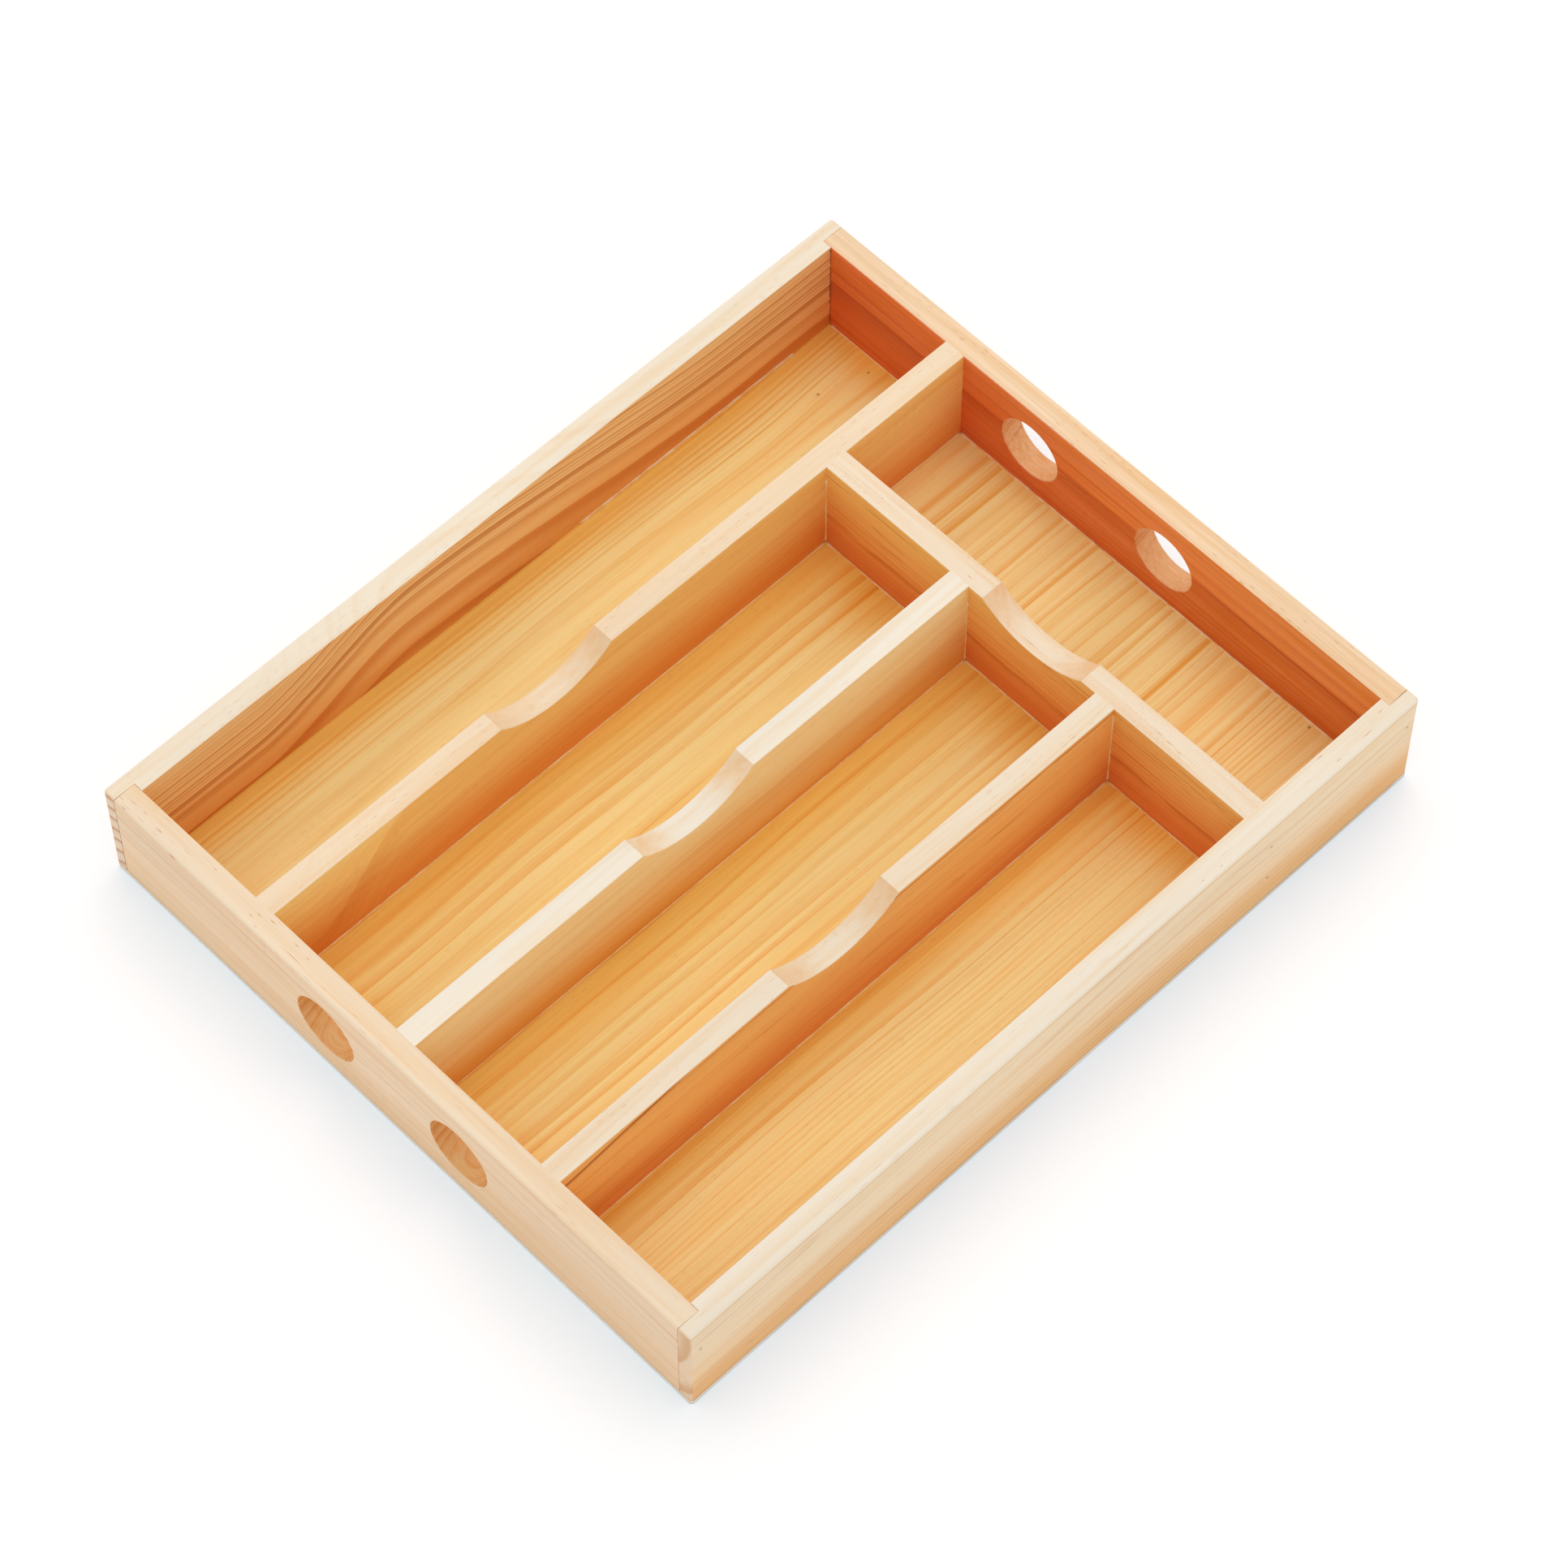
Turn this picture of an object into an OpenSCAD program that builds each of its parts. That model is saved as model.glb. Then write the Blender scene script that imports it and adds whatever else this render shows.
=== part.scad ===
// Pine cutlery tray with five compartments.
// The tray stands on the plane z = 0, centred on the origin, with its length along Y.
// The front end, at -Y, and the back end, at +Y, have the finger holes.

/* [Frame] */
// Overall length, over both ends
tray_l = 316; // [280:1:400]
// Overall width, over both long sides
tray_w = 262; // [230:1:320]
// Overall height, base included
tray_h = 45; // [40:0.5:60]
// Thickness of the long sides
side_t = 8.7; // [7:0.1:12]
// Thickness of the end boards
end_t = 8.7; // [7:0.1:12]
// Thickness of the lip that each long side leaves over the end of an end board
lip_t = 5.1; // [3:0.1:6.5]
// Radius of the four upright corners
corner_r = 3; // [1:0.1:5]
// Radius of the outer top arrises
top_r = 1.6; // [0.5:0.1:2.5]
// Radius of the outer bottom arrises of the boards
foot_r = 0.5; // [0.2:0.1:1.5]
// Radius of the inner top arrises and of the divider arrises
arris_r = 0.4; // [0.1:0.1:1]

/* [Base] */
// Thickness of the base sheet
base_t = 2.2; // [1.8:0.1:4]
// How far the edge of the sheet stays inside the faces of the frame
base_inset = 0.2; // [0:0.1:1]

/* [Compartments] */
// Clear width of the knife compartment
knife_w = 53; // [45:0.5:65]
// Clear width of the teaspoon compartment
teaspoon_w = 53.5; // [45:0.5:65]
// Thickness of the long divider and of the two short ones
divider_t = 8.4; // [6:0.1:11]
// Thickness of the cross divider
cross_t = 8.9; // [6:0.1:11]

/* [Scoops] */
// Radius of the scoops
scoop_r = 35; // [28:0.5:60]
// Depth of the scoops in the long divider and the short ones
scoop_depth = 9.2; // [4:0.1:14]
// Depth of the scoop in the cross divider
cross_scoop_depth = 7.6; // [4:0.1:12]

/* [Finger holes] */
// Diameter of the finger holes
hole_d = 25; // [18:0.5:28]
// Distance between the centres of the two holes in one end
hole_pitch = 60; // [50:0.5:70]

/* [Brads] */
// Width of the brad wire
brad_w = 1.2; // [0.6:0.1:1.6]
// Thickness of the brad wire
brad_t = 1; // [0.6:0.1:1.4]
// Length of a brad
brad_l = 20; // [14:0.5:25]
// How deep a brad is set below the face that it enters
brad_sink = 0.8; // [0.2:0.1:1.5]
// Distance of the brads from the upper and lower edges of the boards
brad_inset = 12; // [8:0.5:15]

/* [Staples] */
// Width over the legs of a staple
staple_w = 6; // [4:0.5:10]
// Length of the legs of a staple
staple_leg = 9.5; // [6:0.5:11]
// Width of the staple wire
staple_wire_w = 1.2; // [0.6:0.1:1.6]
// Thickness of the staple wire
staple_wire_t = 0.9; // [0.5:0.1:1.2]
// How deep the crown of a staple is set into the underside of the base
staple_sink = 0.2; // [0.1:0.1:0.5]
// Staples along each long side
side_staples = 4; // [2:1:6]
// Staples along each end
end_staples = 3; // [1:2:5]
// Staples along the long divider
long_staples = 3; // [1:1:5]
// Staples along each short divider and along the cross divider
short_staples = 2; // [1:1:3]

/* [Hidden] */

$fn = 96;
// How far a cutter runs past the face that it cuts
over = 1;

side_tone = "#ecdcbb";
end_tone = "#ebd3b0";
divider_tone = "#eddcbd";
base_tone = "#ddb069";
wire_tone = "#9a9c9e";

board_h = tray_h - base_t;
inner_w = tray_w - 2 * side_t;
inner_l = tray_l - 2 * end_t;

// Dividers, from the left wall of the knife compartment
long_x0 = knife_w - inner_w / 2;
long_x1 = long_x0 + divider_t;
long_x = (long_x0 + long_x1) / 2;
slot_w = (inner_w / 2 - long_x1 - 2 * divider_t) / 3;
left_short_x = long_x1 + slot_w + divider_t / 2;
right_short_x = left_short_x + divider_t + slot_w;

// The cross divider, from the inner face of the back end
cross_y1 = inner_l / 2 - teaspoon_w;
cross_y0 = cross_y1 - cross_t;
cross_y = (cross_y0 + cross_y1) / 2;
cross_l = inner_w / 2 - long_x1;
cross_x = long_x1 + cross_l / 2;

// The compartments between the front end and the cross divider
slot_l = cross_y0 + inner_l / 2;
slot_y = cross_y0 - slot_l / 2;

hole_z = base_t + board_h / 2;
brad_heights = [base_t + brad_inset, tray_h - brad_inset];

// Each row: where the brads enter a face, seen from above, and the way they point
divider_brad_sites = [
    [long_x, -tray_l / 2, 90],
    [left_short_x, -tray_l / 2, 90],
    [right_short_x, -tray_l / 2, 90],
    [long_x, tray_l / 2, -90],
    [left_short_x, cross_y1, -90],
    [right_short_x, cross_y1, -90],
    [tray_w / 2, cross_y, 180],
    [long_x0, cross_y, 0]
];

// Place i of n along a span, evenly spread about its middle
function spread(i, n, span) = span * ((i + 0.5) / n - 0.5);

// Each row: the middle of a staple, seen from above, and the turn of its crown
staple_sites = concat(
    [for (side = [-1, 1], i = [0 : side_staples - 1])
        [side * (tray_w - side_t) / 2, spread(i, side_staples, inner_l), 90]],
    [for (end = [-1, 1], i = [0 : end_staples - 1])
        [spread(i, end_staples, inner_w), end * (tray_l - end_t) / 2, 0]],
    [for (i = [0 : long_staples - 1])
        [long_x, spread(i, long_staples, inner_l), 90]],
    [for (x = [left_short_x, right_short_x], i = [0 : short_staples - 1])
        [x, slot_y + spread(i, short_staples, slot_l), 90]],
    [for (i = [0 : short_staples - 1])
        [cross_x + spread(i, short_staples, cross_l), cross_y, 0]]
);

// What a rounding takes off a square corner at the origin
module corner_waste(radius) {
    difference() {
        translate([-over, -over])
            square(radius + over);
        translate([radius, radius])
            circle(radius);
    }
}

// Rectangle about the origin with rounded upper and lower corners
module eased_rectangle(width, height, upper_r, lower_r) {
    difference() {
        square([width, height], center = true);
        for (side = [0, 1]) {
            mirror([side, 0]) {
                translate([-width / 2, -height / 2])
                    corner_waste(lower_r);
                translate([-width / 2, height / 2])
                    mirror([0, 1])
                        corner_waste(upper_r);
            }
        }
    }
}

// Section of a board with a square foot and two rounded upper arrises, standing on the base
module board_section(thickness) {
    translate([-thickness / 2, base_t])
        difference() {
            square([thickness, board_h]);
            for (side = [0, 1]) {
                translate([side * thickness, board_h])
                    mirror([side, 0])
                        mirror([0, 1])
                            corner_waste(arris_r);
            }
        }
}

// A section drawn in X and Z, run along Y about the origin
module along_y(length) {
    rotate([90, 0, 0])
        linear_extrude(length, center = true)
            children();
}

// A section drawn in Y and Z, run along X about the origin
module along_x(length) {
    rotate([90, 0, 90])
        linear_extrude(length, center = true)
            children();
}

// Outside of the frame, sanded as one once it is glued up
module frame_envelope() {
    mid_z = base_t + board_h / 2;
    intersection() {
        translate([0, 0, base_t])
            linear_extrude(board_h)
                eased_rectangle(tray_w, tray_l, corner_r, corner_r);
        translate([0, 0, mid_z])
            along_y(tray_l + 2 * over)
                eased_rectangle(tray_w, board_h, top_r, foot_r);
        translate([0, 0, mid_z])
            along_x(tray_w + 2 * over)
                eased_rectangle(tray_l, board_h, top_r, foot_r);
    }
}

// The right side, with a rebate at each end that takes an end board
module side_form() {
    intersection() {
        frame_envelope();
        difference() {
            translate([(tray_w - side_t) / 2, 0, 0])
                along_y(tray_l)
                    board_section(side_t);
            for (end = [0, 1]) {
                mirror([0, end, 0])
                    translate([inner_w / 2 - over, -tray_l / 2 - over, base_t - over])
                        cube([side_t - lip_t + over, end_t + over, board_h + 2 * over]);
            }
        }
    }
}

// The front end, between the lips of the long sides, with its finger holes
module end_form() {
    difference() {
        intersection() {
            frame_envelope();
            translate([0, (end_t - tray_l) / 2, 0])
                along_x(tray_w - 2 * lip_t)
                    board_section(end_t);
        }
        for (side = [-1, 1]) {
            translate([side * hole_pitch / 2, -tray_l / 2 - over, hole_z])
                rotate([-90, 0, 0])
                    cylinder(h = end_t + 2 * over, d = hole_d);
        }
    }
}

// Cutter for a scoop that dips below the top edge, with its axis along X
module scoop(depth, thickness) {
    translate([0, 0, tray_h - depth + scoop_r])
        rotate([0, 90, 0])
            cylinder(h = thickness + 2 * over, r = scoop_r, center = true, $fn = 180);
}

// One brad, driven along +X through the face x = 0, or the hole that it leaves
module brad(hole = false) {
    start = hole ? -over : brad_sink;
    translate([start, -brad_w / 2, -brad_t / 2])
        cube([brad_sink + brad_l - start, brad_w, brad_t]);
}

module corner_brad_group(hole = false) {
    for (side = [-1, 1], end = [-1, 1], z = brad_heights) {
        translate([side * tray_w / 2, end * (tray_l - end_t) / 2, z])
            rotate(side > 0 ? 180 : 0)
                brad(hole);
    }
}

module divider_brad_group(hole = false) {
    for (site = divider_brad_sites, z = brad_heights) {
        translate([site[0], site[1], z])
            rotate(site[2])
                brad(hole);
    }
}

// One staple, driven up through the plane z = 0 with its crown along X, or the hole that it leaves
module staple(hole = false) {
    start = hole ? -over : staple_sink;
    translate([-staple_w / 2, -staple_wire_w / 2, start])
        cube([staple_w, staple_wire_w, staple_sink + staple_wire_t - start]);
    for (side = [0, 1]) {
        mirror([side, 0, 0])
            translate([-staple_w / 2, -staple_wire_w / 2, staple_sink])
                cube([staple_wire_t, staple_wire_w, staple_leg]);
    }
}

module staple_group(hole = false) {
    for (site = staple_sites) {
        translate([site[0], site[1], 0])
            rotate(site[2])
                staple(hole);
    }
}

// A board with the holes of every brad and staple that meets it
module nailed() {
    difference() {
        children();
        corner_brad_group(hole = true);
        divider_brad_group(hole = true);
        staple_group(hole = true);
    }
}

module left_side() {
    color(side_tone)
        nailed()
            mirror([1, 0, 0])
                side_form();
}

module right_side() {
    color(side_tone)
        nailed()
            side_form();
}

module front_end() {
    color(end_tone)
        nailed()
            end_form();
}

module back_end() {
    color(end_tone)
        nailed()
            mirror([0, 1, 0])
                end_form();
}

module base_panel() {
    sheet_r = corner_r - base_inset;
    color(base_tone)
        nailed()
            linear_extrude(base_t)
                eased_rectangle(tray_w - 2 * base_inset, tray_l - 2 * base_inset, sheet_r, sheet_r);
}

module long_divider() {
    color(divider_tone)
        nailed()
            translate([long_x, 0, 0])
                difference() {
                    along_y(inner_l)
                        board_section(divider_t);
                    translate([0, slot_y, 0])
                        scoop(scoop_depth, divider_t);
                }
}

module short_divider(x) {
    color(divider_tone)
        nailed()
            translate([x, slot_y, 0])
                difference() {
                    along_y(slot_l)
                        board_section(divider_t);
                    scoop(scoop_depth, divider_t);
                }
}

module left_short_divider() {
    short_divider(left_short_x);
}

module right_short_divider() {
    short_divider(right_short_x);
}

module cross_divider() {
    color(divider_tone)
        nailed()
            translate([cross_x, cross_y, 0])
                difference() {
                    along_x(cross_l)
                        board_section(cross_t);
                    rotate(90)
                        scoop(cross_scoop_depth, cross_t);
                }
}

module corner_brads() {
    color(wire_tone)
        corner_brad_group();
}

module divider_brads() {
    color(wire_tone)
        divider_brad_group();
}

module base_staples() {
    color(wire_tone)
        staple_group();
}

left_side();
right_side();
front_end();
back_end();
base_panel();
long_divider();
cross_divider();
left_short_divider();
right_short_divider();
corner_brads();
divider_brads();
base_staples();
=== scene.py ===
import math
import random

import bmesh
import bpy
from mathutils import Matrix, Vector


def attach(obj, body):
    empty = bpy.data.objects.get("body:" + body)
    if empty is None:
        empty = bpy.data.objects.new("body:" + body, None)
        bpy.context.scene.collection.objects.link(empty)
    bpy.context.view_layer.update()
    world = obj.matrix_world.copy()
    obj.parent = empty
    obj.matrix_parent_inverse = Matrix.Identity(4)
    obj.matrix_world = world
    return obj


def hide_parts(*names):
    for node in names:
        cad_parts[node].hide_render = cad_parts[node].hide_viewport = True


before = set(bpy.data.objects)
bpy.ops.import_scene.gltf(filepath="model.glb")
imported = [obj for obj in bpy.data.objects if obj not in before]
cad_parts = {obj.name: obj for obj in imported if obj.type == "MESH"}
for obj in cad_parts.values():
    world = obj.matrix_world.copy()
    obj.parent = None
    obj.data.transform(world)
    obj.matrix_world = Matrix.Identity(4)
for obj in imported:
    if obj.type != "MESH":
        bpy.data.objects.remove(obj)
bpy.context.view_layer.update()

print("frame loaded:", sorted(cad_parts))

# sizes in millimetres, shared by every board
tray = {
    "length": 316.0,
    "width": 262.0,
    "height": 45.0,
    "boardT": 8.7,
    "lipT": 5.1,
    "baseT": 2.2,
    "topRound": (1.0, 6),  # radius and facets
    "footRound": (0.5, 3),
    "arrisRound": (0.35, 3),
    "cornerFacets": 6,
    "jointGap": 0.05,
    "buttIn": 0.3,
    "past": 5.0,  # how far a cutter stands past its board
    "through": 30.0,
    "smoothAngle": 42.0,
    "weld": 1e-6,
}
halfW = tray["width"] / 2
halfL = tray["length"] / 2
innerX = halfW - tray["boardT"]
innerY = halfL - tray["boardT"]
lipX = halfW - tray["lipT"]
topZ = tray["height"]
floorZ = tray["baseT"]
middleZ = (floorZ + topZ) / 2


def mm(value):
    return value / 1000


def near(a, b, slack=0.02):
    return abs(a - b) < slack


# a test for edges that have both ends on the given planes
def edgeOn(**planes):
    def test(a, b):
        return all(near(getattr(p, axis), level) for p in (a, b) for axis, level in planes.items())

    return test


def leaveEdit():
    bpy.ops.object.mode_set(mode="OBJECT")


def clearSelection():
    if bpy.context.mode != "OBJECT":
        leaveEdit()
    bpy.ops.object.select_all(action="DESELECT")


def activate(piece):
    clearSelection()
    piece.select_set(True)
    bpy.context.view_layer.objects.active = piece


def settle(piece):
    activate(piece)
    bpy.ops.object.transform_apply(location=True, rotation=True, scale=True)


def addBlock(name, corner, opposite):
    clearSelection()
    middle = [mm(a + b) / 2 for a, b in zip(corner, opposite)]
    bpy.ops.mesh.primitive_cube_add(size=1, location=middle)
    piece = bpy.context.object
    piece.name = name
    piece.scale = [mm(abs(b - a)) for a, b in zip(corner, opposite)]
    settle(piece)
    return piece


def addDrum(name, radius, middle, axis, sides):
    clearSelection()
    bpy.ops.mesh.primitive_cylinder_add(
        vertices=sides,
        radius=mm(radius),
        depth=mm(tray["through"]),
        location=[mm(c) for c in middle],
        rotation={"X": (0, math.pi / 2, 0), "Y": (math.pi / 2, 0, 0)}[axis],
    )
    piece = bpy.context.object
    piece.name = name
    settle(piece)
    return piece


def pickEdges(piece, test):
    activate(piece)
    bpy.ops.object.mode_set(mode="EDIT")
    bpy.ops.mesh.select_mode(type="EDGE")
    bpy.ops.mesh.select_all(action="DESELECT")
    mesh = bmesh.from_edit_mesh(piece.data)
    for edge in mesh.edges:
        if test(*(vert.co * 1000 for vert in edge.verts)):
            edge.select_set(True)
    bmesh.update_edit_mesh(piece.data)


def roundEdges(piece, rounding, test):
    radius, facets = rounding
    pickEdges(piece, test)
    bpy.ops.mesh.bevel(
        offset=mm(radius), offset_type="OFFSET", segments=facets, profile=0.5, affect="EDGES"
    )
    leaveEdit()


def cutAway(piece, cutter):
    activate(piece)
    cut = piece.modifiers.new("cut", "BOOLEAN")
    cut.operation = "DIFFERENCE"
    cut.solver = "EXACT"
    cut.object = cutter
    bpy.ops.object.modifier_apply(modifier=cut.name)
    bpy.data.objects.remove(cutter)


def wear(piece, material):
    piece.data.materials.clear()
    piece.data.materials.append(material)


def finishBoard(piece, settings, material):
    activate(piece)
    bpy.ops.object.mode_set(mode="EDIT")
    bpy.ops.mesh.select_all(action="SELECT")
    bpy.ops.mesh.remove_doubles(threshold=tray["weld"])
    bpy.ops.mesh.normals_make_consistent(inside=False)
    leaveEdit()
    bpy.ops.object.shade_smooth_by_angle(angle=math.radians(tray["smoothAngle"]))
    even = piece.modifiers.new("even", "WEIGHTED_NORMAL")
    even.keep_sharp = True
    bpy.ops.object.modifier_apply(modifier=even.name)
    wear(piece, material)
    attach(piece, "root")
    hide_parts(settings["node"])
    print("board done:", piece.name, len(piece.data.polygons), "faces")


# camera, angles in degrees and places in millimetres
view = {
    "azimuth": 45.69,
    "elevation": 58.723,
    "distance": 1734.01,
    "target": (5.794, 2.726, 25.0),
    "lens": 127.072,
    "sensor": 36,
    "clipEnd": 50,
}


def addCamera():
    az, el = math.radians(view["azimuth"]), math.radians(view["elevation"])
    back = Vector((math.sin(az) * math.cos(el), -math.cos(az) * math.cos(el), math.sin(el)))
    place = (Vector(view["target"]) + back * view["distance"]) / 1000
    clearSelection()
    bpy.ops.object.camera_add(location=place, rotation=(math.pi / 2 - el, 0, az))
    camera = bpy.context.object
    camera.name = "photoCamera"
    camera.data.lens = view["lens"]
    camera.data.sensor_width = view["sensor"]
    camera.data.clip_end = view["clipEnd"]
    bpy.context.scene.camera = camera


addCamera()
print("camera set")


# nodes go into the tree that lies on the bench
bench = {"tree": None}


def put(kind, **settings):
    node = bench["tree"].nodes.new(kind)
    for key, value in settings.items():
        setattr(node, key, value)
    return node


def feed(socket, value):
    if isinstance(value, bpy.types.NodeSocket):
        bench["tree"].links.new(value, socket)
    else:
        socket.default_value = (*value, 1) if socket.type == "RGBA" else value


# ringWidth is the setting for the socket Ring Width
def socketName(key):
    return "".join(" " + letter if letter.isupper() else letter for letter in key).title()


# a group whose sockets take the settings of the same name
def use(group, settings, **wired):
    node = put("ShaderNodeGroup", node_tree=group)
    for key, value in {**settings, **wired}.items():
        if socketName(key) in node.inputs:
            feed(node.inputs[socketName(key)], value)
    return node


def calc(operation, *values, clamp=False):
    node = put("ShaderNodeMath", operation=operation, use_clamp=clamp)
    for socket, value in zip(node.inputs, values):
        feed(socket, value)
    return node.outputs[0]


def times(first, *others):
    for value in others:
        first = calc("MULTIPLY", first, value)
    return first


def timesPlus(value, factor, extra):
    return calc("MULTIPLY_ADD", value, factor, extra)


def minus(value, other):
    return calc("SUBTRACT", value, other)


# what is left of one
def rest(value):
    return calc("SUBTRACT", 1.0, value)


def vectorCalc(operation, *values, result=0):
    node = put("ShaderNodeVectorMath", operation=operation)
    sockets = [s for s in node.inputs if s.enabled]
    for socket, value in zip(sockets, values):
        feed(socket, value)
    return node.outputs[result]


def dot(a, b):
    return vectorCalc("DOT_PRODUCT", a, b, result=1)


def scaleVector(vector, factor):
    node = put("ShaderNodeVectorMath", operation="SCALE")
    feed(node.inputs[0], vector)
    feed(node.inputs["Scale"], factor)
    return node.outputs[0]


def inMillimetres(vector):
    return scaleVector(vector, 1000.0)


def stretchVector(vector, scale, shift):
    return vectorCalc("ADD", vectorCalc("MULTIPLY", vector, scale), shift)


def splitVector(vector):
    node = put("ShaderNodeSeparateXYZ")
    feed(node.inputs[0], vector)
    return node.outputs


def rampUp(value, low, high, toLow=0.0, toHigh=1.0):
    node = put("ShaderNodeMapRange", interpolation_type="SMOOTHSTEP")
    for socket, item in zip(node.inputs, (value, low, high, toLow, toHigh)):
        feed(socket, item)
    return node.outputs[0]


def rampDown(value, low, high):
    return rampUp(value, low, high, 1.0, 0.0)


def noiseAt(spot, detail=2.0, roughness=0.5, dimensions="3D"):
    node = put("ShaderNodeTexNoise", noise_dimensions=dimensions)
    feed(node.inputs["W" if dimensions == "1D" else "Vector"], spot)
    node.inputs["Scale"].default_value = 1.0
    node.inputs["Detail"].default_value = detail
    node.inputs["Roughness"].default_value = roughness
    return node.outputs["Fac"]


def mixColour(factor, a, b, mode="MIX"):
    node = put("ShaderNodeMix", data_type="RGBA", blend_type=mode)
    feed(node.inputs[0], factor)
    feed(node.inputs[6], a)
    feed(node.inputs[7], b)
    return node.outputs[2]


def stain(factor, colour, tint):
    return mixColour(factor, colour, tint, "MULTIPLY")


# sockets are lists of labels under the kind of their value
def startGroup(name, inputs, outputs):
    group = bpy.data.node_groups.new(name, "ShaderNodeTree")
    bench["tree"] = group
    for way, sockets in (("INPUT", inputs), ("OUTPUT", outputs)):
        for kind, labels in sockets.items():
            for label in labels:
                group.interface.new_socket(label, in_out=way, socket_type="NodeSocket" + kind)
    return put("NodeGroupInput").outputs, put("NodeGroupOutput").inputs


def startMaterial(name):
    material = bpy.data.materials.new(name)
    material.use_nodes = True
    bench["tree"] = material.node_tree
    return material, bench["tree"].nodes["Principled BSDF"]


# waves of the figure per millimetre, along the grain and across it
waves = {
    "slow": (0.0065, 0.016),
    "quick": (0.016, 0.14),
    "gaps": (0.005, 0.045),
    "patches": (0.01, 0.3),
    "broad": (0.007, 0.75),
    "narrow": (0.04, 2.3),
    "cloud": (0.006, 0.035),
    "blush": (0.012, 0.3),
    "gather": (0.03, 0.16),
}
rings = {
    "seedShift": (13.1, 7.7, 3.9),
    "quickShare": 0.05,
    "unevenStep": 0.55,
    "unevenReach": 1.3,
    "luckStep": 17.3,
    "luckShare": 0.75,
    "lateRise": (0.1, 0.92),
    "lateStop": (0.93, 1.0),
    "endRise": (0.45, 0.9),
    "endStop": (0.92, 1.0),
    "fineCount": 3.37,
    "fineRise": (0.55, 0.84),
    "fineStop": (0.86, 0.98),
    "calmEdge": (-3.0, 3.0),
    "faintEdge": (-20.0, 20.0),
    "gapEdge": (0.4, 0.6),
    "patchEdge": (0.38, 0.58),
    "blushEdge": (0.42, 0.68),
    "fleckSize": 3.4,
    "fleckEdge": (0.14, 0.4),
    "gatherEdge": (0.46, 0.68),
    "gatherShare": (0.01, 0.3),
}
figureParts = ["Rings", "End Rings", "Lines", "Streaks", "Cloud", "Blush", "Flecks", "Rise"]
faceParts = ["Top", "Outer", "End", "Arris"]


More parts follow.
